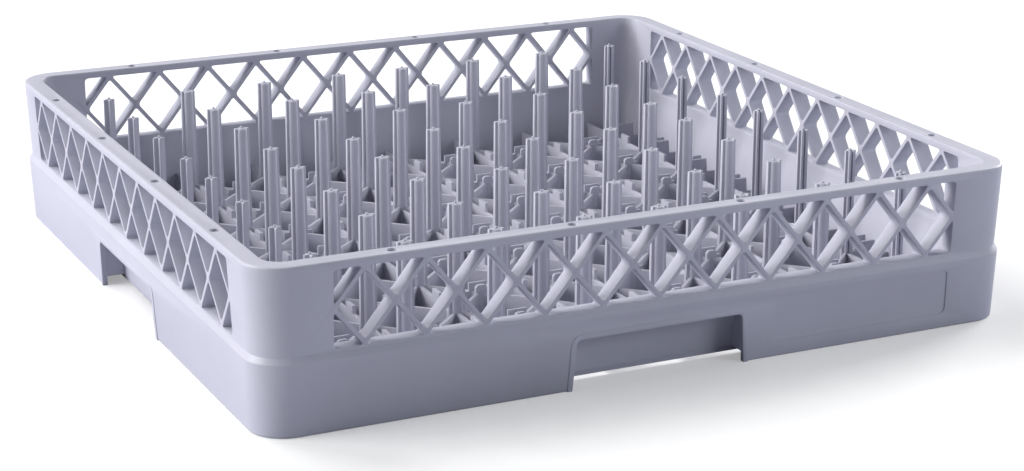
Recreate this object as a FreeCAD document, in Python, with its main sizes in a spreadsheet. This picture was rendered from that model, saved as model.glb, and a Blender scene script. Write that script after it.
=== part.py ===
"""Plate rack for a commercial dishwasher, moulded in one piece.

A square tray, 500 mm each way and 100 mm high. Its wall is a lattice between a flat rim
and a hollow skirt, its floor is an open grid, and 64 pegs stand on the grid.

The frame: +X to the right along the front wall, +Y to the back, +Z up, origin under the
middle of the rack on the surface it stands on. All sizes in millimetres.
"""
import FreeCAD
import Part
import Sketcher
import os
import re

NODE = "plate_rack"

# Driving sizes
SIZES = (
    ("overall_half", 250.0, "centre of the rack to the outside of the rim"),
    ("height", 100.0, "surface under the rack to the top of the rim"),
    ("corner_radius", 24.0, "outer corners seen from above"),
    ("rim_width", 12.0, "rim, and depth of the lattice wall under it"),
    ("band_height", 4.7, "rim above the openings of the lattice"),
    ("skirt_top", 43.7, "top of the straight part of the skirt"),
    ("ledge_top", 47.0, "where the slanting ledge meets the lattice wall"),
    ("ledge_step", 2.3, "how far the lattice wall stands back there"),
    ("skirt_draft", 1.9, "how much the skirt leans in at the foot"),
    ("skirt_wall", 3.0, "thickness of the skirt"),
    ("channel_top", 43.9, "roof of the channel between skirt and tray wall"),
    ("tray_wall", 3.0, "thickness of the tray wall inside the skirt"),
    ("tray_shoulder", 46.0, "where the tray wall starts to lean in"),
    ("tray_bend_inset", 17.5, "outside of the rim to the inside of the tray wall at its bend"),
    ("tray_bend", 26.0, "height of that bend"),
    ("tray_foot_inset", 20.0, "outside of the rim to the inside of the tray wall at its foot"),
    ("tray_foot", 2.8, "height of the foot of the tray wall"),
    ("lattice_pitch", 37.14, "one diamond to the next"),
    ("lattice_post", 20.0, "least width of the solid post between lattice and corner"),
    ("lattice_sill", 48.7, "lower edge of the openings"),
    ("lattice_cross", 72.4, "height at which the lattice ribs cross"),
    ("lattice_rise", 22.7, "climb of a lattice rib over half a pitch"),
    ("lattice_run", 3.5, "lattice rib measured along the wall"),
    ("pin_hole_radius", 2.5, "holes in the rim for an extension's pins"),
    ("pin_hole_inset", 6.2, "line of those holes to the outside of the rim"),
    ("pin_hole_count", 4.0, "holes in each side of the rim"),
    ("pin_hole_step", 3.0, "diamonds from one hole to the next"),
    ("notch_foot_half", 57.5, "half width of the hand notch at the foot"),
    ("notch_top_half", 55.0, "half width of the notch at its top"),
    ("notch_height", 31.5, "top of the notch"),
    ("notch_radius", 3.0, "upper corners of the notch"),
    ("notch_web", 2.5, "thickness of the webs that join skirt and tray wall beside the notch"),
    ("notch_web_foot", 6.0, "height of the foot of those webs"),
    ("peg_gap_half", 25.1, "middle of the rack to the first line of pegs"),
    ("peg_pitch", 57.8, "one line of pegs to the next"),
    ("peg_wall_space", 25.0, "least space from the last line of pegs to the foot of the tray wall"),
    ("peg_top", 89.1, "top of the pegs"),
    ("peg_core", 3.9, "middle of a peg to the front of its eight-sided core, at the foot"),
    ("peg_cheek", 3.6, "middle of the peg to the sides of the core"),
    ("peg_face", 2.0, "half width of the flat on the front and back of the core"),
    ("peg_fin_half", 1.5, "half thickness of the two side fins"),
    ("peg_reach", 5.7, "middle of the peg to the edge of a fin, at the foot"),
    ("peg_taper", 0.875, "top of a peg as a share of its foot"),
    ("outer_reach", 4.2, "middle of an outer peg to its edges, at the foot"),
    ("outer_half", 0.85, "half thickness of the ribs of an outer peg"),
    ("outer_block_half", 2.4, "half width of the block on the grooved side of an outer peg"),
    ("outer_block", 2.9, "middle of an outer peg to the front of that block"),
    ("groove_half", 0.65, "half width of the groove"),
    ("groove_floor", 0.2, "middle of an outer peg to the floor of its groove"),
    ("outer_taper", 0.93, "top of an outer peg as a share of its foot"),
    ("grid_foot", 3.5, "underside of the floor grid"),
    ("grid_top", 19.5, "top of the floor grid"),
    ("rib_half", 1.25, "half thickness of the floor ribs"),
    ("diagonal_run", 1.6, "half thickness of the diagonals, measured across the rack"),
    ("tab_top", 25.0, "top of the tabs that carry the plates"),
    ("tab_half", 6.25, "half length of the tabs on the floor ribs"),
    ("side_tab_gap", 6.5, "last line of pegs to the tabs beside the wall"),
    ("side_tab_clearance", 10.0, "those tabs to the foot of the tray wall"),
    ("wall_plate_length", 6.0, "reach of the short plates inside the foot of the tray wall"),
)

doc = FreeCAD.newDocument("PlateRack")
sheet = doc.addObject("Spreadsheet::Sheet", "Sizes")
for row, (alias, size, meaning) in enumerate(SIZES, start=1):
    sheet.set(f"A{row}", meaning)
    sheet.set(f"B{row}", str(size))
    sheet.setAlias(f"B{row}", alias)
doc.recompute()

ALIASES = {alias for alias, size, meaning in SIZES}

# Positions that follow from the driving sizes
CORNER = "(overall_half - corner_radius)"
RIM_INSIDE = "(overall_half - rim_width)"
BAND_FOOT = "(height - band_height)"
SLOPE = "(2 * lattice_rise / lattice_pitch)"
HALF_RUN = "(lattice_run / 2)"
LATTICE_COUNT = f"(2 * floor(({CORNER} - lattice_post) / lattice_pitch - 0.5) + 1)"
LATTICE_END = f"({LATTICE_COUNT} * lattice_pitch / 2)"
UPPER_HALF = f"(({BAND_FOOT} - lattice_cross) / {SLOPE} - {HALF_RUN})"
LOWER_HALF = f"((lattice_cross - lattice_sill) / {SLOPE} - {HALF_RUN})"
TRAY_BEND = "(overall_half - tray_bend_inset)"
TRAY_FOOT = "(overall_half - tray_foot_inset)"
PEG_STEPS = f"floor(({TRAY_FOOT} - peg_wall_space - peg_gap_half) / peg_pitch)"
PEG_LINE_END = f"(peg_gap_half + {PEG_STEPS} * peg_pitch)"
FLOOR_REACH = f"({TRAY_FOOT} + tray_wall * 0.8)"


def formula(text):
    """The same formula with every size named as a cell of the sheet."""
    return re.sub(r"[a-z]\w*", lambda word: f"Sizes.{word[0]}" if word[0] in ALIASES else word[0], text)


def value(text):
    return float(sheet.evalExpression(formula(text)))


def new_body(name):
    body = doc.addObject("PartDesign::Body", name)
    body.Label = name
    return body


def origin_part(body, role):
    return next(item for item in body.Origin.OriginFeatures if item.Role == role)


def bind(item, path, text):
    item.setExpression(path, formula(text))


def new_sketch(body, name, role, offset="0", shift="0"):
    """A sketch parallel to a main plane, offset along its normal, shifted along its own x."""
    sketch = body.newObject("Sketcher::SketchObject", name)
    sketch.AttachmentSupport = [(origin_part(body, role), "")]
    sketch.MapMode = "FlatFace"
    bind(sketch, "AttachmentOffset.Base.x", shift)
    bind(sketch, "AttachmentOffset.Base.z", offset)
    return sketch


def fix_point(sketch, edge, text_x, text_y):
    """Tie the start of an edge to the sketch's origin, both ways."""
    for kind, text, axis in (("DistanceX", text_x, -2), ("DistanceY", text_y, -1)):
        distance = value(text)
        if abs(distance) < 1e-9:
            sketch.addConstraint(Sketcher.Constraint("PointOnObject", edge, 1, axis))
            continue
        place = sketch.addConstraint(Sketcher.Constraint(kind, -1, 1, edge, 1, distance))
        bind(sketch, f"Constraints[{place}]", text)


def outline(sketch, corners):
    """A closed outline of straight lines."""
    points = [FreeCAD.Vector(value(across), value(up), 0) for across, up in corners]
    first = sketch.GeometryCount
    for start, end in zip(points, points[1:] + points[:1]):
        sketch.addGeometry(Part.LineSegment(start, end))
    for place, (across, up) in enumerate(corners):
        edge = first + place
        following = first + (place + 1) % len(corners)
        sketch.addConstraint(Sketcher.Constraint("Coincident", edge, 2, following, 1))
        fix_point(sketch, edge, across, up)


def box_outline(sketch, left, right, front, back):
    outline(sketch, [(left, front), (right, front), (right, back), (left, back)])


def settle(body, item, grows):
    """Recompute and make sure that the feature has added or taken away material."""
    before = 0.0 if body.Shape.isNull() else body.Shape.Volume
    doc.recompute()
    if (item.Shape.Volume - before) * grows <= 0:
        raise RuntimeError(f"{item.Name} has no effect")
    return item


def from_sketch(kind, name, sketch, length):
    item = sketch.getParentGeoFeatureGroup().newObject(f"PartDesign::{kind}", name)
    item.Profile = sketch
    item.Refine = False
    bind(item, "Length", length)
    return item


def pad(name, sketch, length, down=False):
    item = from_sketch("Pad", name, sketch, length)
    item.Reversed = down
    return settle(sketch.getParentGeoFeatureGroup(), item, 1)


def plate(name, sketch, thickness):
    """A pad to both sides of its sketch."""
    item = from_sketch("Pad", name, sketch, thickness)
    item.SideType = "Symmetric"
    return settle(sketch.getParentGeoFeatureGroup(), item, 1)


def pocket(name, sketch, length):
    item = from_sketch("Pocket", name, sketch, length)
    return settle(sketch.getParentGeoFeatureGroup(), item, -1)


def in_row(body, name, length, count):
    item = body.newObject("PartDesign::LinearPattern", name)
    item.Direction = (origin_part(body, "X_Axis"), [""])
    bind(item, "Length", length)
    bind(item, "Occurrences", count)
    return item


def round_four_sides(body, name):
    item = body.newObject("PartDesign::PolarPattern", name)
    item.Axis = (origin_part(body, "Z_Axis"), [""])
    item.Angle = 360
    item.Occurrences = 4
    return item


def left_and_right(body, name):
    item = body.newObject("PartDesign::Mirrored", name)
    item.MirrorPlane = (origin_part(body, "YZ_Plane"), [""])
    return item


def repeat(body, name, originals, steps, grows, refine=False):
    """Repeat features through patterns, each one applied to all that the last one gave."""
    item = body.newObject("PartDesign::MultiTransform", name)
    item.Originals = originals
    item.Transformations = steps
    item.Refine = refine
    body.Tip = item
    return settle(body, item, grows)


# Walls: one section, run along a side and turned round a corner
def wall_section(sketch, shift):
    corners = [
        ("overall_half - skirt_draft - skirt_wall", "0"),
        ("overall_half - skirt_draft", "0"),
        ("overall_half", "skirt_top"),
        ("overall_half - ledge_step", "ledge_top"),
        ("overall_half", BAND_FOOT),
        ("overall_half", "height"),
        (RIM_INSIDE, "height"),
        (RIM_INSIDE, "tray_shoulder"),
        (TRAY_BEND, "tray_bend"),
        (TRAY_FOOT, "tray_foot"),
        (f"{TRAY_FOOT} + tray_wall", "tray_foot"),
        (f"{TRAY_BEND} + tray_wall", "tray_bend"),
        (f"{RIM_INSIDE} + tray_wall", "channel_top"),
        ("overall_half - skirt_wall", "channel_top"),
    ]
    outline(sketch, [(f"{across} - {shift}", up) for across, up in corners])


walls = new_body("Walls")
side_section = new_sketch(walls, "SideSection", "XZ_Plane")
wall_section(side_section, "0")
side = plate("Side", side_section, f"2 * {CORNER}")

corner_section = new_sketch(walls, "CornerSection", "XZ_Plane", offset=f"-{CORNER}", shift=CORNER)
wall_section(corner_section, CORNER)
corner = walls.newObject("PartDesign::Revolution", "Corner")
corner.Profile = corner_section
corner.ReferenceAxis = (corner_section, ["V_Axis"])
corner.Angle = 90
settle(walls, corner, 1)
repeat(walls, "FourSides", [side, corner], [round_four_sides(walls, "SideTurn")], 1, refine=True)


# Webs between skirt and tray wall beside each hand notch, then the notch through the skirt
web_sketch = new_sketch(walls, "NotchWebOutline", "YZ_Plane", offset="notch_foot_half + notch_web / 2")
outline(web_sketch, [
    ("-(overall_half - skirt_draft - skirt_wall / 2)", "notch_web_foot"),
    (f"-({TRAY_FOOT} + tray_wall / 2)", "notch_web_foot"),
    (f"-({TRAY_BEND} + tray_wall / 2)", "tray_bend"),
    (f"-({RIM_INSIDE} + tray_wall / 2)", "channel_top + 1"),
    ("-(overall_half - skirt_wall / 2)", "channel_top + 1"),
])
web = plate("NotchWeb", web_sketch, "notch_web")
web_steps = [left_and_right(walls, "WebMirror"), round_four_sides(walls, "WebTurn")]
repeat(walls, "NotchWebs", [web], web_steps, 1)

notch_sketch = new_sketch(walls, "NotchOutline", "XZ_Plane", offset="overall_half + 1")
outline(notch_sketch, [
    ("-notch_foot_half", "0"),
    ("notch_foot_half", "0"),
    ("notch_top_half", "notch_height"),
    ("-notch_top_half", "notch_height"),
])
notch = pocket("Notch", notch_sketch, "skirt_wall + skirt_draft + 2")
notches = repeat(walls, "Notches", [notch], [round_four_sides(walls, "NotchTurn")], -1, refine=True)

upper_corners = []
for place, edge in enumerate(notches.Shape.Edges, start=1):
    middle = edge.CenterOfMass
    across = min(abs(middle.x), abs(middle.y))
    if abs(middle.z - value("notch_height")) < 0.01 and abs(across - value("notch_top_half")) < 0.01:
        upper_corners.append(f"Edge{place}")
if len(upper_corners) != 8:
    raise RuntimeError("the upper corners of the notches weren't found")
notch_corners = walls.newObject("PartDesign::Fillet", "NotchCorners")
notch_corners.Base = (notches, upper_corners)
bind(notch_corners, "Radius", "notch_radius")
settle(walls, notch_corners, 1)

# Lattice: diamonds, the triangles above and below them, and the half ones beside the posts
LAST_DIAMOND = f"({LATTICE_END} - lattice_pitch / 2)"
LAST_CROSSING = f"({LATTICE_END} - lattice_pitch)"
UPPER_TIP = f"(lattice_cross + {HALF_RUN} * {SLOPE})"
LOWER_TIP = f"(lattice_cross - {HALF_RUN} * {SLOPE})"
DIAMOND_HALF = f"(lattice_pitch / 2 - {HALF_RUN})"


def lattice_openings(name, outlines, steps):
    sketch = new_sketch(walls, f"{name}Outline", "XZ_Plane", offset="overall_half + 1")
    for corners in outlines:
        outline(sketch, corners)
    opening = pocket(name, sketch, "rim_width + 2")
    repeat(walls, f"{name}s", [opening], steps + [round_four_sides(walls, f"{name}Turn")], -1)


lattice_openings("Diamond", [[
    (f"-{LAST_DIAMOND} - {DIAMOND_HALF}", "lattice_cross"),
    (f"-{LAST_DIAMOND}", f"lattice_cross - {DIAMOND_HALF} * {SLOPE}"),
    (f"-{LAST_DIAMOND} + {DIAMOND_HALF}", "lattice_cross"),
    (f"-{LAST_DIAMOND}", f"lattice_cross + {DIAMOND_HALF} * {SLOPE}"),
]], [in_row(walls, "DiamondRow", f"2 * {LAST_DIAMOND}", LATTICE_COUNT)])

lattice_openings("Triangle", [[
    (f"-{LAST_CROSSING} - {UPPER_HALF}", BAND_FOOT),
    (f"-{LAST_CROSSING}", UPPER_TIP),
    (f"-{LAST_CROSSING} + {UPPER_HALF}", BAND_FOOT),
], [
    (f"-{LAST_CROSSING} - {LOWER_HALF}", "lattice_sill"),
    (f"-{LAST_CROSSING} + {LOWER_HALF}", "lattice_sill"),
    (f"-{LAST_CROSSING}", LOWER_TIP),
]], [in_row(walls, "TriangleRow", f"2 * {LAST_CROSSING}", f"{LATTICE_COUNT} - 1")])

lattice_openings("HalfTriangle", [[
    (f"-{LATTICE_END}", BAND_FOOT),
    (f"-{LATTICE_END}", UPPER_TIP),
    (f"-{LATTICE_END} + {UPPER_HALF}", BAND_FOOT),
], [
    (f"-{LATTICE_END}", "lattice_sill"),
    (f"-{LATTICE_END} + {LOWER_HALF}", "lattice_sill"),
    (f"-{LATTICE_END}", LOWER_TIP),
]], [left_and_right(walls, "HalfTriangleMirror")])

# Pin holes down through the rim, one above every third triangle
HOLE_SPAN = "((pin_hole_count - 1) * pin_hole_step * lattice_pitch)"
HOLE_LINE = "(overall_half - pin_hole_inset)"
hole_sketch = new_sketch(walls, "PinHoleOutline", "XY_Plane", offset="height")
middle = FreeCAD.Vector(-value(HOLE_SPAN) / 2, -value(HOLE_LINE), 0)
hole_sketch.addGeometry(Part.Circle(middle, FreeCAD.Vector(0, 0, 1), value("pin_hole_radius")))
for kind, text in (("DistanceX", f"-{HOLE_SPAN} / 2"), ("DistanceY", f"-{HOLE_LINE}")):
    place = hole_sketch.addConstraint(Sketcher.Constraint(kind, -1, 1, 0, 3, value(text)))
    bind(hole_sketch, f"Constraints[{place}]", text)
place = hole_sketch.addConstraint(Sketcher.Constraint("Radius", 0, value("pin_hole_radius")))
bind(hole_sketch, f"Constraints[{place}]", "pin_hole_radius")
pin_hole = pocket("PinHole", hole_sketch, "band_height + 1")
hole_steps = [in_row(walls, "PinHoleRow", HOLE_SPAN, "pin_hole_count"), round_four_sides(walls, "PinHoleTurn")]
repeat(walls, "PinHoles", [pin_hole], hole_steps, -1)

# Pieces of the floor, each modelled once about its own middle
GRID_HEIGHT = "grid_top - grid_foot"
PITCH_HALF = "(peg_pitch / 2)"


def floor_cell(name, half_x, half_y):
    """Two crossing diagonals between four pegs."""
    body = new_body(name)
    run = "diagonal_run"
    knee = f"(diagonal_run * {half_y} / {half_x})"
    cross = new_sketch(body, f"{name}Cross", "XY_Plane", offset="grid_foot")
    outline(cross, [
        (f"{half_x} + {run}", half_y),
        (f"{half_x} - {run}", half_y),
        ("0", knee),
        (f"-{half_x} + {run}", half_y),
        (f"-{half_x} - {run}", half_y),
        (f"-{run}", "0"),
        (f"-{half_x} - {run}", f"-{half_y}"),
        (f"-{half_x} + {run}", f"-{half_y}"),
        ("0", f"-{knee}"),
        (f"{half_x} - {run}", f"-{half_y}"),
        (f"{half_x} + {run}", f"-{half_y}"),
        (run, "0"),
    ])
    pad(f"{name}Diagonals", cross, GRID_HEIGHT)
    return body


def floor_box(name, left, right, front, back, foot, top):
    body = new_body(name)
    sketch = new_sketch(body, f"{name}Outline", "XY_Plane", offset=foot)
    box_outline(sketch, left, right, front, back)
    pad(f"{name}Block", sketch, f"{top} - {foot}")
    return body


square_cell = floor_cell("SquareCell", PITCH_HALF, PITCH_HALF)
narrow_cell = floor_cell("NarrowCell", "peg_gap_half", PITCH_HALF)
shallow_cell = floor_cell("ShallowCell", PITCH_HALF, "peg_gap_half")
middle_cell = floor_cell("MiddleCell", "peg_gap_half", "peg_gap_half")
long_rib = floor_box("LongRib", "-rib_half", "rib_half", f"-{FLOOR_REACH}", FLOOR_REACH, "grid_foot", "grid_top")
rib_tab = floor_box("RibTab", "-rib_half", "rib_half", "-tab_half", "tab_half", "(grid_top - 1)", "tab_top")
wall_plate = floor_box(
    "WallPlate", f"{TRAY_FOOT} - wall_plate_length", FLOOR_REACH, "-rib_half", "rib_half", "grid_foot", "grid_top")

side_rib = new_body("SideRib")
side_rib_sketch = new_sketch(side_rib, "SideRibOutline", "XZ_Plane")
outline(side_rib_sketch, [
    (PEG_LINE_END, "grid_foot"),
    (FLOOR_REACH, "grid_foot"),
    (FLOOR_REACH, "grid_top"),
    (f"{TRAY_FOOT} - side_tab_clearance", "grid_top"),
    (f"{TRAY_FOOT} - side_tab_clearance", "tab_top"),
    (f"{PEG_LINE_END} + side_tab_gap", "tab_top"),
    (f"{PEG_LINE_END} + side_tab_gap", "grid_top"),
    (PEG_LINE_END, "grid_top"),
])
plate("SideRibPlate", side_rib_sketch, "2 * rib_half")


def peg_body(name, corners, taper):
    """A peg that narrows evenly from its foot to its top."""
    body = new_body(name)
    foot = new_sketch(body, f"{name}Foot", "XY_Plane", offset="grid_foot")
    outline(foot, corners)
    top = new_sketch(body, f"{name}Top", "XY_Plane", offset="peg_top")
    outline(top, [(f"({across}) * {taper}", f"({along}) * {taper}") for across, along in corners])
    post = body.newObject("PartDesign::AdditiveLoft", f"{name}Post")
    post.Profile = foot
    post.Sections = [top]
    post.Ruled = True
    settle(body, post, 1)
    return body


plain_peg = peg_body("PlainPeg", [
    ("peg_reach", "-peg_fin_half"),
    ("peg_reach", "peg_fin_half"),
    ("peg_cheek", "peg_fin_half"),
    ("peg_face", "peg_core"),
    ("-peg_face", "peg_core"),
    ("-peg_cheek", "peg_fin_half"),
    ("-peg_reach", "peg_fin_half"),
    ("-peg_reach", "-peg_fin_half"),
    ("-peg_cheek", "-peg_fin_half"),
    ("-peg_face", "-peg_core"),
    ("peg_face", "-peg_core"),
    ("peg_cheek", "-peg_fin_half"),
], "peg_taper")

# The outer pegs have a rib at the back and a grooved block in front
outer_peg = peg_body("OuterPeg", [
    ("outer_reach", "-outer_half"),
    ("outer_reach", "outer_half"),
    ("outer_half", "outer_half"),
    ("outer_half", "outer_reach"),
    ("-outer_half", "outer_reach"),
    ("-outer_half", "outer_half"),
    ("-outer_reach", "outer_half"),
    ("-outer_reach", "-outer_half"),
    ("-outer_block_half", "-outer_half"),
    ("-outer_block_half", "-outer_block"),
    ("-groove_half", "-outer_block"),
    ("-groove_half", "-groove_floor"),
    ("groove_half", "-groove_floor"),
    ("groove_half", "-outer_block"),
    ("outer_block_half", "-outer_block"),
    ("outer_block_half", "-outer_half"),
], "outer_taper")


# The floor: copies of those pieces on the lines of pegs, fused at once because the rows are uneven
def lines_of_pegs():
    gap_half = value("peg_gap_half")
    outward = [gap_half + step * value("peg_pitch") for step in range(int(value(PEG_STEPS)) + 1)]
    return [-place for place in reversed(outward)] + outward


def copy_at(body, x, y, turned=0):
    piece = body.Shape.copy()
    spin = FreeCAD.Rotation(FreeCAD.Vector(0, 0, 1), turned)
    piece.Placement = FreeCAD.Placement(FreeCAD.Vector(x, y, 0), spin).multiply(piece.Placement)
    return piece


LINES = lines_of_pegs()
MIDDLES = [(before + after) / 2 for before, after in zip(LINES, LINES[1:])]
CENTRE = len(MIDDLES) // 2
CELLS = {
    (False, False): square_cell,
    (True, False): narrow_cell,
    (False, True): shallow_cell,
    (True, True): middle_cell,
}
pieces = []
for x in LINES:
    pieces.append(copy_at(long_rib, x, 0))
    pieces.extend(copy_at(rib_tab, x, y) for y in MIDDLES)
for y in LINES:
    pieces.extend(copy_at(plain_peg, x, y) for x in LINES[1:-1])
    pieces.append(copy_at(outer_peg, LINES[0], y, 180))
    pieces.append(copy_at(outer_peg, LINES[-1], y))
for column, x in enumerate(MIDDLES):
    for row, y in enumerate(MIDDLES):
        pieces.append(copy_at(CELLS[column == CENTRE, row == CENTRE], x, y))
for turned in (0, 180):
    pieces.extend(copy_at(side_rib, 0, y, turned) for y in LINES)
    pieces.extend(copy_at(wall_plate, 0, y, turned) for y in MIDDLES)

floor = doc.addObject("Part::Feature", "Floor")
floor.Label = "Floor"
floor.Shape = pieces[0].multiFuse(pieces[1:])

rack = doc.addObject("Part::MultiFuse", "Rack")
rack.Label = NODE
rack.Shapes = [walls, floor]
rack.Refine = True
doc.recompute()

for item in doc.Objects:
    if "Invalid" in item.State or "Error" in item.State:
        raise RuntimeError(f"{item.Name} failed: {item.State}")
if rack.Shape.isNull() or not rack.Shape.isValid() or len(rack.Shape.Solids) != 1:
    raise RuntimeError("the rack isn't one valid solid")

box = rack.Shape.BoundBox
print(f"size {box.XLength:.2f} x {box.YLength:.2f} x {box.ZLength:.2f}, volume {rack.Shape.Volume:.0f}")
os.makedirs("parts", exist_ok=True)
rack.Shape.exportStep(f"parts/{NODE}.step")
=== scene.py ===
import math

import bmesh
import bpy
from mathutils import Matrix, Vector


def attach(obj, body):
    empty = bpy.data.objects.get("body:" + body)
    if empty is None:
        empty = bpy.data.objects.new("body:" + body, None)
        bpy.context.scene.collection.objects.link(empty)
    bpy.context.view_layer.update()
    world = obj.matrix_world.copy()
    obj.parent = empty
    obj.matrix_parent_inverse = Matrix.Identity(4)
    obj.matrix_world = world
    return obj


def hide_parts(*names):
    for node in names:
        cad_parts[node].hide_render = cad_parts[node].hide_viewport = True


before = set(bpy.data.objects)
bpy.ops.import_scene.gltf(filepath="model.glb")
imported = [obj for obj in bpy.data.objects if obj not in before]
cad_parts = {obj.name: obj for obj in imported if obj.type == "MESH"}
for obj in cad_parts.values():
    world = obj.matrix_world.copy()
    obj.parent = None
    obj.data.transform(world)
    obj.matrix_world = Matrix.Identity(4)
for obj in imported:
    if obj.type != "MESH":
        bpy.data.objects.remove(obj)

bl_info = {
    "name": "Dishwasher plate rack",
    "version": (1, 0, 0),
    "blender": (4, 5, 0),
    "location": "3D View > Sidebar > Plate rack",
    "description": "Models the walls, floor and pegs of a moulded plate rack and sets its studio",
    "category": "Object",
}

NODE = "plate_rack"
QUARTER = math.pi / 2
MM = 0.001

# Sizes in millimetres that several pieces share
SKIRT_LEAN = 1.9
SKIRT_TOP = 43.7
NOTCH_HALF = 57.5
TRAY_FACE = 232.2
FLOOR_FOOT = 3.5

# Sizes in metres that several pieces share
RIB_EDGE = 0.00035
PAST = 0.002


# Settings

class RackSizes(bpy.types.PropertyGroup):
    """Sizes of the rack, in metres."""

    half: bpy.props.FloatProperty(
        name="Half width", description="Middle of the rack to the outside of the rim",
        default=0.25, unit="LENGTH")
    height: bpy.props.FloatProperty(
        name="Height", description="Foot of the skirt to the top of the rim",
        default=0.1, unit="LENGTH")
    corner: bpy.props.FloatProperty(
        name="Corner radius", description="Outer corners seen from above",
        default=0.024, unit="LENGTH")
    rim: bpy.props.FloatProperty(
        name="Rim width", description="Width of the rim and depth of the lattice",
        default=0.012, unit="LENGTH")
    pitch: bpy.props.FloatProperty(
        name="Lattice pitch", description="One diamond of the lattice to the next",
        default=0.03714, unit="LENGTH")
    lattice_rib: bpy.props.FloatProperty(
        name="Lattice rib", description="Lattice rib measured along the wall",
        default=0.0031, unit="LENGTH")
    lattice_round: bpy.props.FloatProperty(
        name="Opening corners", description="Rounding in the corners of the lattice openings",
        default=0.0024, unit="LENGTH")
    gap: bpy.props.FloatProperty(
        name="Middle gap", description="Middle of the rack to the first line of pegs",
        default=0.0251, unit="LENGTH")
    step: bpy.props.FloatProperty(
        name="Peg spacing", description="One line of pegs to the next",
        default=0.0578, unit="LENGTH")
    peg_top: bpy.props.FloatProperty(
        name="Peg height", description="Surface under the rack to the top of the pegs",
        default=0.0891, unit="LENGTH")
    peg_core: bpy.props.FloatProperty(
        name="Peg core", description="Middle of a peg to the front of its core",
        default=0.00405, unit="LENGTH")
    peg_reach: bpy.props.FloatProperty(
        name="Peg fin reach", description="Middle of a peg to the edge of a fin",
        default=0.0057, unit="LENGTH")
    grid_top: bpy.props.FloatProperty(
        name="Grid top", description="Top of the floor ribs",
        default=0.0195, unit="LENGTH")
    tab_top: bpy.props.FloatProperty(
        name="Tab top", description="Top of the tabs that carry the plates",
        default=0.025, unit="LENGTH")
    softness: bpy.props.FloatProperty(
        name="Edge softness", description="Rounding of the moulded edges",
        default=0.00045, unit="LENGTH")


class RackFinish(bpy.types.PropertyGroup):
    """Colour and gloss of the moulded polypropylene."""

    colour: bpy.props.FloatVectorProperty(
        name="Colour", description="Colour of the polypropylene",
        default=(0.485, 0.485, 0.565), subtype="COLOR", min=0.0, max=1.0)
    roughness: bpy.props.FloatProperty(
        name="Roughness", description="Gloss of the moulded surface",
        default=0.46, subtype="FACTOR", min=0.0, max=1.0)


class StudioLook(bpy.types.PropertyGroup):
    """Camera and lights of the studio."""

    camera_place: bpy.props.FloatVectorProperty(
        name="Camera place", description="Where the camera stands",
        default=(-0.65588, -1.42894, 0.50585), subtype="TRANSLATION", unit="LENGTH")
    camera_turn: bpy.props.FloatProperty(
        name="Camera turn", description="Camera direction, turned from the back towards the right",
        default=0.4427, subtype="ANGLE", unit="ROTATION")
    camera_dip: bpy.props.FloatProperty(
        name="Camera dip", description="How far the camera looks down",
        default=0.3012, subtype="ANGLE", unit="ROTATION")
    camera_lens: bpy.props.FloatProperty(
        name="Lens", description="Focal length in millimetres on a 36 mm frame",
        default=85.63)
    window_power: bpy.props.FloatProperty(
        name="Window light", description="Power of the large soft light on the left", default=500.0)
    top_power: bpy.props.FloatProperty(
        name="Top light", description="Power of the light high up behind", default=185.0)
    right_power: bpy.props.FloatProperty(
        name="Right light", description="Power of the low light on the right", default=340.0)
    front_power: bpy.props.FloatProperty(
        name="Front light", description="Power of the weak light in front", default=29.0)
    room_level: bpy.props.FloatProperty(
        name="Room level", description="Even light from all round", default=0.12)


# Modelling tools

def deselect():
    if bpy.context.object and bpy.context.object.mode != "OBJECT":
        bpy.ops.object.mode_set(mode="OBJECT")
    bpy.ops.object.select_all(action="DESELECT")


def activate(*objects):
    """Select these objects, the first one active."""
    deselect()
    for item in objects:
        item.select_set(True)
    bpy.context.view_layer.objects.active = objects[0]
    return objects[0]


def draw(name, points):
    """Draw a closed outline corner by corner and fill it, left selected in edit mode."""
    deselect()
    bpy.ops.mesh.primitive_plane_add(size=MM)
    item = bpy.context.object
    item.name = name
    bpy.ops.object.mode_set(mode="EDIT")
    bpy.ops.mesh.select_mode(type="VERT")
    bpy.ops.mesh.select_all(action="SELECT")
    bpy.ops.mesh.merge(type="CENTER")
    bpy.ops.transform.translate(value=points[0])
    for before, after in zip(points, points[1:]):
        step = Vector(after) - Vector(before)
        bpy.ops.mesh.extrude_vertices_move(TRANSFORM_OT_translate={"value": step})
    bpy.ops.mesh.select_all(action="SELECT")
    bpy.ops.mesh.edge_face_add()
    return item


def extrude(step):
    bpy.ops.mesh.extrude_region_move(TRANSFORM_OT_translate={"value": step})


def spin(middle, steps):
    """Turn the selected face a quarter to the left round an upright axis."""
    bpy.ops.mesh.spin(steps=steps, angle=-QUARTER, center=middle, axis=(0, 0, 1))


def close_shape(item):
    """Point every face outwards and leave edit mode."""
    bpy.ops.mesh.select_all(action="SELECT")
    bpy.ops.mesh.normals_make_consistent(inside=False)
    bpy.ops.object.mode_set(mode="OBJECT")
    return item


def prism(name, points, step):
    item = draw(name, points)
    extrude(step)
    return close_shape(item)


def cylinder(name, radius, foot, top, x, y):
    deselect()
    bpy.ops.mesh.primitive_cylinder_add(
        vertices=32, radius=radius, depth=top - foot, location=(x, y, (foot + top) / 2))
    item = bpy.context.object
    item.name = name
    return item


def select_edges(item, rule):
    """In edit mode, select the edges whose two ends meet the rule."""
    activate(item)
    bpy.ops.object.mode_set(mode="EDIT")
    bpy.ops.mesh.select_mode(type="EDGE")
    bpy.ops.mesh.select_all(action="DESELECT")
    mesh = bmesh.from_edit_mesh(item.data)
    for edge in mesh.edges:
        edge.select_set(rule(edge.verts[0].co, edge.verts[1].co))
    bmesh.update_edit_mesh(item.data)


def runs_back(start, end):
    """The edge runs from the front to the back."""
    return abs(start.y - end.y) > MM


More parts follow.
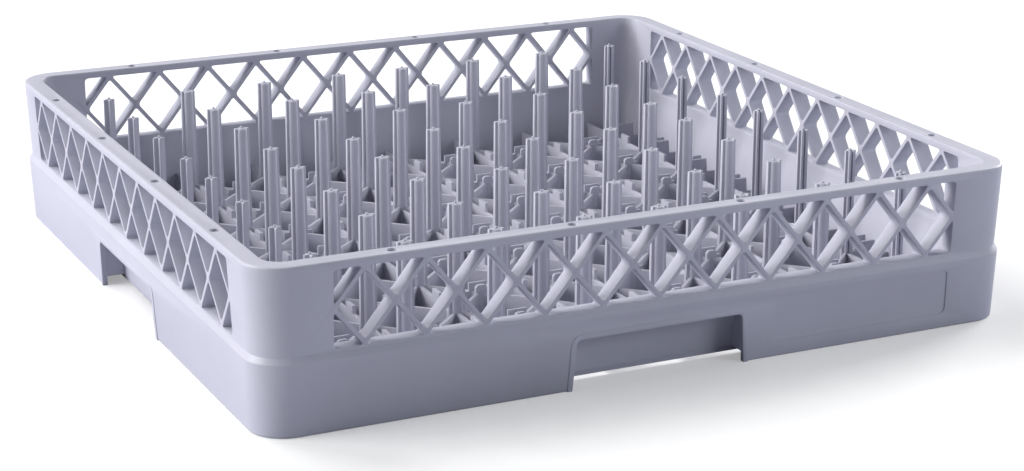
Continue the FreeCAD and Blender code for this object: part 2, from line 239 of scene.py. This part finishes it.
def round_edges(item, rule, width, segments):
    select_edges(item, rule)
    bpy.ops.mesh.bevel(offset=width, segments=segments, affect="EDGES")
    bpy.ops.object.mode_set(mode="OBJECT")


def soften(item, width):
    """Round every sharp edge a little, as a mould leaves it."""
    activate(item)
    bevel = item.modifiers.new("Soft edges", "BEVEL")
    bevel.width = width
    bevel.segments = 2
    bevel.limit_method = "ANGLE"
    bevel.angle_limit = math.radians(35)
    bevel.miter_outer = "MITER_ARC"
    bpy.ops.object.modifier_apply(modifier=bevel.name)
    bpy.ops.object.shade_smooth_by_angle(angle=math.radians(32))


def copy(item, place=(0, 0, 0), turn=0.0):
    """A copy with its own mesh, moved and turned round the upright axis through the origin."""
    activate(item)
    bpy.ops.object.duplicate()
    twin = bpy.context.object
    move = Matrix.Translation(place) @ Matrix.Rotation(turn, 4, "Z")
    twin.matrix_world = move @ twin.matrix_world
    return twin


def join(name, items):
    """One object of all these, with its place in its mesh."""
    activate(*items)
    bpy.ops.object.transform_apply(location=True, rotation=True, scale=True)
    if len(items) > 1:
        bpy.ops.object.join()
    item = bpy.context.object
    item.name = name
    item.data.name = name
    return item


def delete(items):
    activate(*items)
    bpy.ops.object.delete()


def on_four_sides(name, item):
    """The object of the front wall, and its copies on the other three walls."""
    twins = [copy(item, turn=QUARTER * side) for side in (1, 2, 3)]
    return join(name, [item] + twins)


def combine(item, tool, how):
    activate(item)
    boolean = item.modifiers.new(how, "BOOLEAN")
    boolean.operation = how
    boolean.solver = "EXACT"
    boolean.object = tool
    bpy.ops.object.modifier_apply(modifier=boolean.name)
    delete([tool])


def arc(middle_x, middle_y, radius, first, last, count):
    """Points of an arc in millimetres, angles in degrees."""
    turns = [math.radians(first + (last - first) * place / count) for place in range(count + 1)]
    return [(middle_x + radius * math.cos(turn), middle_y + radius * math.sin(turn)) for turn in turns]


def upright(points, y):
    """Points given in millimetres across and up, at a depth y in metres."""
    return [(across * MM, y, up * MM) for across, up in points]


def flat(points, z):
    return [(across * MM, along * MM, z) for across, along in points]


def lines_of_pegs(sizes):
    outward = [sizes.gap + place * sizes.step for place in range(4)]
    return [-place for place in reversed(outward)] + outward


def middles(lines):
    return [(before + after) / 2 for before, after in zip(lines, lines[1:])]


def declare(item):
    """The piece belongs to the moulded body of the rack."""
    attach(item, "root")
    item.data.materials.clear()
    item.data.materials.append(moulded_plastic())
    return item


# Shader tools

class Value:
    """A shader socket that can be used in sums."""

    def __init__(self, shader, socket):
        self.shader = shader
        self.socket = socket

    def combine(self, operation, other):
        return self.shader.node("ShaderNodeMath", {"operation": operation}, {0: self, 1: other})

    def __add__(self, other):
        return self.combine("ADD", other)

    def __sub__(self, other):
        return self.combine("SUBTRACT", other)

    def __rsub__(self, other):
        return self.shader.node("ShaderNodeMath", {"operation": "SUBTRACT"}, {0: other, 1: self})

    def __mul__(self, other):
        return self.combine("MULTIPLY", other)

    __radd__ = __add__
    __rmul__ = __mul__


class Shader:
    """The nodes of one material or world."""

    def __init__(self, tree):
        self.tree = tree
        self.tree.nodes.clear()

    def node(self, kind, settings=None, inputs=None, output=0):
        made = self.tree.nodes.new(kind)
        for name, setting in (settings or {}).items():
            setattr(made, name, setting)
        for name, given in (inputs or {}).items():
            if isinstance(given, Value):
                self.tree.links.new(given.socket, made.inputs[name])
            else:
                made.inputs[name].default_value = given
        return Value(self, made.outputs[output]) if made.outputs else made


def moulded_plastic():
    """Matt grey-lilac polypropylene with faint flow mottling and a fine mould grain."""
    found = bpy.data.materials.get("Moulded polypropylene")
    if found:
        return found
    finish = bpy.context.scene.rack_finish
    material = bpy.data.materials.new("Moulded polypropylene")
    material.use_nodes = True
    shader = Shader(material.node_tree)
    place = shader.node("ShaderNodeTexCoord", output=3)
    mottle = shader.node(
        "ShaderNodeTexNoise", inputs={"Vector": place, "Scale": 22.0, "Detail": 3.0, "Roughness": 0.55})
    grain = shader.node(
        "ShaderNodeTexNoise", inputs={"Vector": place, "Scale": 900.0, "Detail": 2.0, "Roughness": 0.6})
    colour = tuple(finish.colour)
    darker = tuple(part * 0.93 for part in colour) + (1.0,)
    lighter = tuple(min(1.0, part * 1.05) for part in colour) + (1.0,)
    tint = shader.node(
        "ShaderNodeMix", {"data_type": "RGBA"}, {0: mottle, 6: darker, 7: lighter}, output=2)
    rough = finish.roughness + 0.12 * (mottle - 0.5) + 0.06 * (grain - 0.5)
    bump = shader.node(
        "ShaderNodeBump", inputs={"Strength": 0.12, "Distance": 0.0004, "Height": grain})
    surface = shader.node(
        "ShaderNodeBsdfPrincipled",
        inputs={"Base Color": tint, "Roughness": rough, "Normal": bump, "IOR": 1.49})
    shader.node("ShaderNodeOutputMaterial", inputs={"Surface": surface})
    return material


# Walls

def wall_outline(sizes):
    """Section of the right wall in millimetres, across and up: skirt, ledge, lattice wall,
    rim, and the tray wall that curves in to the floor."""
    half, top = sizes.half / MM, sizes.height / MM
    inside = half - sizes.rim / MM
    wall, foot_round, outer_round, inner_round = 3.0, 1.4, 1.5, 0.9
    ledge, ledge_top, rim_foot, web_top = 2.3, 47.0, 95.3, 43.9
    points = [(half - SKIRT_LEAN - wall, 0.0)]
    points += arc(half - SKIRT_LEAN - foot_round, foot_round, foot_round, -90, 0, 3)
    points += [(half, SKIRT_TOP), (half - ledge, ledge_top), (half, rim_foot)]
    points += arc(half - outer_round, top - outer_round, outer_round, 0, 90, 5)
    points += arc(inside + inner_round, top - inner_round, inner_round, 90, 180, 4)
    tray = [(0.0, 46.0), (-0.8, 41.0), (-2.6, 34.0), (-4.9, 26.5), (-6.6, 18.0), (-7.7, 9.0), (-8.0, 2.8)]
    points += [(inside + across, up) for across, up in tray]
    points += [(inside + across + wall, up) for across, up in reversed(tray[1:])]
    points += [(inside + wall, web_top), (half - wall, web_top)]
    return points


def wall_ring(sizes):
    """Run the section along each side and turn it round each corner, then take out the
    section's own faces, so that the ring closes on itself."""
    reach = sizes.half - sizes.corner
    outline = wall_outline(sizes)
    ring = draw("walls", upright(outline, -reach))
    way = Vector((0, 2 * reach, 0))
    middle = Vector((reach, reach, 0))
    for side in range(4):
        extrude(way)
        spin(middle, 12)
        way.rotate(Matrix.Rotation(QUARTER, 3, "Z"))
        middle.rotate(Matrix.Rotation(QUARTER, 3, "Z"))
    mesh = bmesh.from_edit_mesh(ring.data)
    for face in mesh.faces:
        face.select_set(len(face.verts) > 4)
    bmesh.update_edit_mesh(ring.data)
    bpy.ops.mesh.delete(type="ONLY_FACE")
    bpy.ops.mesh.select_all(action="SELECT")
    bpy.ops.mesh.remove_doubles(threshold=0.00001)
    return close_shape(ring)


def lattice_cutter(sizes, name, outline):
    """A cutter through the front wall with rounded corners; outline in millimetres."""
    cutter = prism(name, upright(outline, -(sizes.half + PAST)), (0, sizes.rim + 2 * PAST, 0))
    round_edges(cutter, runs_back, sizes.lattice_round, 4)
    return cutter


def lattice_cutters(sizes):
    """Diamonds and triangles of the front wall."""
    pitch, run = sizes.pitch / MM, sizes.lattice_rib / MM / 2
    cross, sill, band, rise, last = 72.4, 48.7, sizes.height / MM - 4.7, 22.7, 5
    slope = rise / (pitch / 2)
    wide = pitch / 2 - run
    upper, lower = (band - cross) / slope - run, (cross - sill) / slope - run
    diamond = lattice_cutter(sizes, "diamond", [
        (-wide, cross), (0, cross - wide * slope), (wide, cross), (0, cross + wide * slope)])
    above = lattice_cutter(sizes, "above", [(-upper, band), (0, cross + run * slope), (upper, band)])
    below = lattice_cutter(sizes, "below", [(-lower, sill), (lower, sill), (0, cross - run * slope)])
    cutters = [copy(diamond, (sizes.pitch * place, 0, 0)) for place in range(-last, last + 1)]
    for place in range(-last, last):
        cutters.append(copy(above, (sizes.pitch * (place + 0.5), 0, 0)))
        cutters.append(copy(below, (sizes.pitch * (place + 0.5), 0, 0)))
    end = (last + 0.5) * pitch
    for side in (-1, 1):
        cutters.append(lattice_cutter(sizes, "above_end", [
            (side * end, band), (side * end, cross + run * slope), (side * (end - upper), band)]))
        cutters.append(lattice_cutter(sizes, "below_end", [
            (side * end, sill), (side * (end - lower), sill), (side * end, cross - run * slope)]))
    delete([diamond, above, below])
    return join("lattice_cutters", cutters)


def lean_with_skirt(sizes, item):
    """Set a piece drawn at y = 0 against the slightly leaning front of the skirt."""
    activate(item)
    item.rotation_euler.x = math.atan2(SKIRT_LEAN, SKIRT_TOP)
    item.location = (0, -(sizes.half - SKIRT_LEAN * MM), 0)
    bpy.ops.object.transform_apply(location=True, rotation=True, scale=True)
    return item


def notch_block(name, edge, foot, front, depth):
    """The shape of the hand notch, grown by edge, as a block behind the front."""
    wide, narrow, high, corner = NOTCH_HALF + edge, 55 + edge, 31.5 + edge, 3.0 + edge
    outline = [(-wide, foot), (wide, foot), (narrow, high), (-narrow, high)]
    block = prism(name, upright(outline, front), (0, depth, 0))
    middle = high / 2 * MM
    round_edges(block, lambda a, b: runs_back(a, b) and a.z > middle, corner * MM, 5)
    return block


def notch_web(sizes, side):
    """One of the webs that join skirt and tray wall beside the notch."""
    half, thick = sizes.half / MM, 2.5
    inward = [(3.4, 6), (18.5, 6), (16, 26), (10.5, 44.9), (1.5, 44.9)]
    start = NOTCH_HALF if side > 0 else -(NOTCH_HALF + thick)
    section = [(start * MM, (along - half) * MM, up * MM) for along, up in inward]
    return prism("web", section, (thick * MM, 0, 0))


def panel_cutter(sizes):
    """A shallow sunk panel to the right of the notch."""
    left, right, low, high, corner = 81.5, 197.5, 14.0, 35.0, 4.0
    before, sunk = 0.003, 0.0006
    outline = []
    for x, z, first in ((right, low, -90), (right, high, 0), (left, high, 90), (left, low, 180)):
        outline += arc(x, z, corner, first, first + 90, 5)
    return lean_with_skirt(sizes, prism("panel", upright(outline, -before), (0, before + sunk, 0)))


def build_walls(sizes):
    walls = wall_ring(sizes)
    hole_inset = 6.2 * MM
    line = hole_inset - sizes.half
    places = [sizes.pitch * step for step in (-4.5, -1.5, 1.5, 4.5)]
    boss, boss_foot, boss_top = 0.0043, 0.0928, 0.0965
    bore, bore_foot, bore_top = 0.0025, 0.09, 0.0986
    mouth, mouth_foot, mouth_top = 0.0032, 0.0985, 0.102
    border_wide, border_foot, border_proud, border_depth = 3.2, 0.02, 0.35 * MM, 2.0 * MM
    notch_foot, notch_depth = -1.0, 7.9 * MM
    bosses = [cylinder("boss", boss, boss_foot, boss_top, x, line) for x in places]
    border = notch_block("border", border_wide, border_foot, -border_proud, border_depth)
    added = [notch_web(sizes, -1), notch_web(sizes, 1), lean_with_skirt(sizes, border)] + bosses
    combine(walls, on_four_sides("added", join("added", added)), "UNION")
    holes = [cylinder("bore", bore, bore_foot, bore_top, x, line) for x in places]
    holes += [cylinder("mouth", mouth, mouth_foot, mouth_top, x, line) for x in places]
    notch = notch_block("notch", 0.0, notch_foot, -(sizes.half + PAST), notch_depth)
    cuts = on_four_sides("cuts", join("cuts", [lattice_cutters(sizes), notch] + holes))
    combine(walls, cuts, "DIFFERENCE")
    combine(walls, panel_cutter(sizes), "DIFFERENCE")
    soften(walls, sizes.softness)
    return walls


# Pegs

def plain_outline(sizes):
    """Plan of a peg in millimetres: a block with a rounded front and back between two fins."""
    reach, front, side, fin = sizes.peg_reach / MM, sizes.peg_core / MM, 3.65, 1.45
    flatness = 0.8
    round_front = [(side * math.cos(turn), fin + (front - fin) * math.sin(turn) ** flatness)
                   for turn in (0.3, 0.62, 0.92, 1.2, 1.4)]
    half = [(reach, fin), (side, fin)] + round_front + [(0, front)]
    back = half + [(-across, along) for across, along in reversed(half[:-1])]
    return back + [(-across, -along) for across, along in back]


def outer_outline():
    """Plan of an outer peg: ribs to both sides and to the back, and a grooved block in front."""
    rib, reach = 0.85, 4.2
    block, front, groove, groove_end = 2.4, 2.9, 0.65, 0.2
    half = [(rib, reach), (rib, rib), (reach, rib), (reach, -rib), (block, -rib), (block, -front),
            (groove, -front), (groove, -groove_end)]
    return [(-across, along) for across, along in half] + half[::-1]


def build_peg(sizes, outline, taper, rounding):
    """A post that narrows evenly to a top with a small point, rounded at its front and back."""
    foot, block, shoulder, shoulder_taper = FLOOR_FOOT * MM, 0.0155, 0.003, 0.955
    top = sizes.peg_top - 0.0005
    point_radius, point_middle = 0.0009, sizes.peg_top + 0.00015
    peg = draw("peg", flat(outline, foot))
    extrude((0, 0, block))
    extrude((0, 0, shoulder))
    bpy.ops.transform.resize(value=(shoulder_taper, shoulder_taper, 1.0), center_override=(0, 0, 0))
    extrude((0, 0, top - foot - block - shoulder))
    bpy.ops.transform.resize(value=(taper, taper, 1.0), center_override=(0, 0, 0))
    close_shape(peg)
    near_top, near_front = top - 0.0005, 0.0042
    round_edges(peg, lambda a, b: min(a.z, b.z) > near_top and abs(a.y + b.y) > near_front, rounding, 3)
    soften(peg, RIB_EDGE)
    deselect()
    bpy.ops.mesh.primitive_uv_sphere_add(
        segments=12, ring_count=8, radius=point_radius, location=(0, 0, point_middle))
    point = bpy.context.object
    bpy.ops.object.shade_smooth()
    return join("peg", [peg, point])


def build_pegs(sizes):
    plain = build_peg(sizes, plain_outline(sizes), 0.9, 0.0015)
    outer = build_peg(sizes, outer_outline(), 0.95, 0.0006)
    lines = lines_of_pegs(sizes)
    copies = []
    for y in lines:
        copies += [copy(plain, (x, y, 0)) for x in lines[1:-1]]
        copies += [copy(outer, (lines[0], y, 0), math.pi), copy(outer, (lines[-1], y, 0))]
    delete([plain, outer])
    return join("pegs", copies)


# Floor

def long_rib(sizes, between, high):
    """A rib from the front wall to the back one, raised in a tab between each two pegs."""
    thick, low, reach, tab = 0.0025, FLOOR_FOOT * MM, TRAY_FACE * MM, sizes.tab_top - 0.0008
    tab_foot, tab_head = 0.0057, 0.0054
    side = -thick / 2
    points = [(side, -reach, low), (side, reach, low), (side, reach, high)]
    for y in reversed(between):
        points += [(side, y + tab_foot, high), (side, y + tab_head, tab)]
        points += [(side, y - tab_head, tab), (side, y - tab_foot, high)]
    points.append((side, -reach, high))
    rib = prism("long_rib", points, (thick, 0, 0))
    soften(rib, RIB_EDGE)
    return rib


def cell_cross(half_x, half_y, high):
    """Crossing diagonals of one cell."""
    run, low = 1.55, FLOOR_FOOT * MM
    knee = run * half_y / half_x
    cross = prism("cross", flat([
        (half_x + run, half_y), (half_x - run, half_y), (0, knee), (-half_x + run, half_y),
        (-half_x - run, half_y), (-run, 0), (-half_x - run, -half_y), (-half_x + run, -half_y),
        (0, -knee), (half_x - run, -half_y), (half_x + run, -half_y), (run, 0)], low), (0, 0, high - low))
    soften(cross, RIB_EDGE)
    return cross


def front_plate(half_x):
    """The plate in front of the middle of a cell: a low web, shoulders and a round tab."""
    low, web, shoulder, neck, tab = 5, 12.8, 9, 17.2, 3.8
    corner, corner_x, corner_z = 2.3, 1.5, 22.2
    place, thick = -0.003, 0.0024
    right = [(half_x, low), (half_x, web), (shoulder, web), (tab, neck)]
    left = [(-across, up) for across, up in reversed(right)]
    round_top = arc(corner_x, corner_z, corner, 0, 90, 4) + arc(-corner_x, corner_z, corner, 90, 180, 4)
    outline = left[-1:] + right + round_top + left[:-1]
    plate = prism("front_plate", upright(outline, place), (0, thick, 0))
    soften(plate, RIB_EDGE)
    return plate


def back_plate(shelf):
    """The plate behind the middle of a cell: a shelf with a tab on it."""
    low, reach, tab_foot, tab_head, tab_top = 6, 10, 6.2, 6.1, 24.9
    place, thick = 0.0027, 0.0018
    right = [(reach, low), (reach, shelf), (tab_foot, shelf), (tab_head, tab_top)]
    left = [(-across, up) for across, up in reversed(right)]
    plate = prism("back_plate", upright(left[-1:] + right + left[:-1], place), (0, thick, 0))
    soften(plate, RIB_EDGE)
    return plate


def cell_piece(sizes, half_x, half_y):
    """Crossing diagonals of one cell, and the two plates that stand across its middle."""
    high = sizes.grid_top - 0.00005
    shelf = high / MM - 0.1
    return join("cell", [cell_cross(half_x, half_y, high), front_plate(half_x), back_plate(shelf)])


def edge_piece(name, outline):
    """A thin piece between the last pegs and the right wall; outline in millimetres."""
    thick = 0.0024
    piece = prism(name, upright(outline, -thick / 2), (0, thick, 0))
    soften(piece, RIB_EDGE)
    return piece


def side_rib(sizes):
    """Rib from the last line of pegs to the right wall, raised in a tab half way."""
    last, high, outer = lines_of_pegs(sizes)[-1] / MM, sizes.grid_top / MM - 0.1, 15.2
    tab, tab_start, tab_end, slant_in, slant_out = sizes.tab_top / MM, 205, 220.5, 0.3, 0.6
    return edge_piece("side_rib", [
        (last, FLOOR_FOOT), (TRAY_FACE, FLOOR_FOOT), (TRAY_FACE, outer), (tab_end, outer),
        (tab_end - slant_out, tab), (tab_start + slant_in, tab),
        (tab_start, high), (last, high)])


def wall_plate(sizes):
    """A short plate at the right wall, between two side ribs."""
    high, start, slant = sizes.grid_top / MM - 0.4, 224, 0.6
    return edge_piece("wall_plate", [
        (start, FLOOR_FOOT), (TRAY_FACE, FLOOR_FOOT), (TRAY_FACE, high), (start + slant, high)])


def build_floor(sizes):
    lines = lines_of_pegs(sizes)
    between = middles(lines)
    outer, inner = (long_rib(sizes, between, sizes.grid_top - drop) for drop in (0.0003, 0.0018))
    parts = [copy(outer if abs(x) > 2 * sizes.gap else inner, (x, 0, 0)) for x in lines]
    wide, narrow = sizes.step / MM / 2, sizes.gap / MM
    centre = len(between) // 2
    cells = {
        (column, row): cell_piece(sizes, narrow if column else wide, narrow if row else wide)
        for column in (False, True) for row in (False, True)}
    for column, x in enumerate(between):
        for row, y in enumerate(between):
            parts.append(copy(cells[column == centre, row == centre], (x, y, 0)))
    edge_rib, plate = side_rib(sizes), wall_plate(sizes)
    for turn in (0.0, math.pi):
        parts += [copy(edge_rib, (0, y, 0), turn) for y in lines]
        parts += [copy(plate, (0, y, 0), turn) for y in between]
    delete([outer, inner, edge_rib, plate] + list(cells.values()))
    return join("floor_grid", parts)


# Studio

def build_ground():
    """A white table that keeps the soft shadow and meets a white background."""
    deselect()
    bpy.ops.mesh.primitive_plane_add(size=14.0)
    ground = bpy.context.object
    ground.name = "table"
    material = bpy.data.materials.new("White table")
    material.use_nodes = True
    shader = Shader(material.node_tree)
    seen = shader.node("ShaderNodeLightPath", output=0)
    bounce = shader.node("ShaderNodeBsdfDiffuse", inputs={"Color": (0.48, 0.49, 0.56, 1.0)})
    lit = shader.node("ShaderNodeBsdfDiffuse", inputs={"Color": (0.95, 0.95, 0.95, 1.0)})
    glow = shader.node("ShaderNodeEmission", inputs={"Color": (1.0, 1.0, 1.0, 1.0), "Strength": 1.05})
    white = shader.node("ShaderNodeMixShader", inputs={0: 0.32, 1: lit, 2: glow})
    mixed = shader.node("ShaderNodeMixShader", inputs={0: seen, 1: bounce, 2: white})
    shader.node("ShaderNodeOutputMaterial", inputs={"Surface": mixed})
    ground.data.materials.append(material)


def build_world(look):
    world = bpy.data.worlds.new("Studio")
    bpy.context.scene.world = world
    world.use_nodes = True
    shader = Shader(world.node_tree)
    path = shader.node("ShaderNodeLightPath", output=0)
    room = shader.node(
        "ShaderNodeBackground", inputs={"Color": (0.86, 0.9, 1.0, 1.0), "Strength": look.room_level})
    white = shader.node("ShaderNodeBackground", inputs={"Color": (1.0, 1.0, 1.0, 1.0), "Strength": 1.0})
    mixed = shader.node("ShaderNodeMixShader", inputs={0: path, 1: room, 2: white})
    shader.node("ShaderNodeOutputWorld", inputs={"Surface": mixed})


def area_light(name, place, size, power, colour):
    """A square soft light that faces the middle of the rack."""
    deselect()
    bpy.ops.object.light_add(type="AREA", location=place)
    lamp = bpy.context.object
    lamp.name = name
    lamp.data.size = size
    lamp.data.energy = power
    lamp.data.color = colour
    lamp.rotation_euler = (-Vector(place)).to_track_quat("-Z", "Y").to_euler()


def build_camera(look):
    deselect()
    bpy.ops.object.camera_add(location=look.camera_place)
    camera = bpy.context.object
    camera.name = "camera"
    camera.rotation_euler = (QUARTER - look.camera_dip, 0, -look.camera_turn)
    camera.data.sensor_width = 36.0
    camera.data.lens = look.camera_lens
    bpy.context.scene.camera = camera


# Operators

class RACK_OT_walls(bpy.types.Operator):
    """Model the lattice walls, rim, skirt and tray wall"""

    bl_idname = "rack.walls"
    bl_label = "Walls"

    def execute(self, context):
        walls = declare(build_walls(context.scene.rack_sizes))
        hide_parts(NODE)
        return {"FINISHED"}


class RACK_OT_floor(bpy.types.Operator):
    """Model the open grid of the floor"""

    bl_idname = "rack.floor"
    bl_label = "Floor grid"

    def execute(self, context):
        declare(build_floor(context.scene.rack_sizes))
        return {"FINISHED"}


class RACK_OT_pegs(bpy.types.Operator):
    """Model the pegs that hold the plates"""

    bl_idname = "rack.pegs"
    bl_label = "Pegs"

    def execute(self, context):
        declare(build_pegs(context.scene.rack_sizes))
        return {"FINISHED"}


class RACK_OT_studio(bpy.types.Operator):
    """Set the table, the lights and the camera"""

    bl_idname = "rack.studio"
    bl_label = "Studio"

    def execute(self, context):
        look = context.scene.studio_look
        warm, cool = (1.0, 0.995, 0.985), (0.9, 0.94, 1.0)
        build_ground()
        build_world(look)
        area_light("window_light", (-5.6, 1.5, 2.5), 4.0, look.window_power, warm)
        area_light("top_light", (-1.7, 3.2, 4.5), 2.4, look.top_power, warm)
        area_light("right_light", (5.0, 2.3, 1.9), 2.6, look.right_power, warm)
        area_light("front_light", (1.9, -2.2, 1.0), 1.4, look.front_power, cool)
        build_camera(look)
        context.scene.view_settings.view_transform = "Standard"
        return {"FINISHED"}


class RACK_PT_panel(bpy.types.Panel):
    """Lists the steps that build the rack"""

    bl_label = "Plate rack"
    bl_idname = "RACK_PT_panel"
    bl_space_type = "VIEW_3D"
    bl_region_type = "UI"
    bl_category = "Plate rack"

    def draw(self, context):
        for step in (RACK_OT_walls, RACK_OT_floor, RACK_OT_pegs, RACK_OT_studio):
            self.layout.operator(step.bl_idname)
        for group in (context.scene.rack_sizes, context.scene.rack_finish, context.scene.studio_look):
            box = self.layout.box()
            for name in group.bl_rna.properties.keys():
                if name not in ("rna_type", "name"):
                    box.prop(group, name)


CLASSES = (
    RackSizes, RackFinish, StudioLook,
    RACK_OT_walls, RACK_OT_floor, RACK_OT_pegs, RACK_OT_studio, RACK_PT_panel,
)


def register():
    for item in CLASSES:
        bpy.utils.register_class(item)
    bpy.types.Scene.rack_sizes = bpy.props.PointerProperty(type=RackSizes)
    bpy.types.Scene.rack_finish = bpy.props.PointerProperty(type=RackFinish)
    bpy.types.Scene.studio_look = bpy.props.PointerProperty(type=StudioLook)


def unregister():
    del bpy.types.Scene.studio_look
    del bpy.types.Scene.rack_finish
    del bpy.types.Scene.rack_sizes
    for item in reversed(CLASSES):
        bpy.utils.unregister_class(item)


def main():
    register()
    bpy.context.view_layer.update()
    bpy.ops.rack.walls()
    bpy.ops.rack.floor()
    bpy.ops.rack.pegs()
    bpy.ops.rack.studio()


if __name__ == "__main__":
    main()
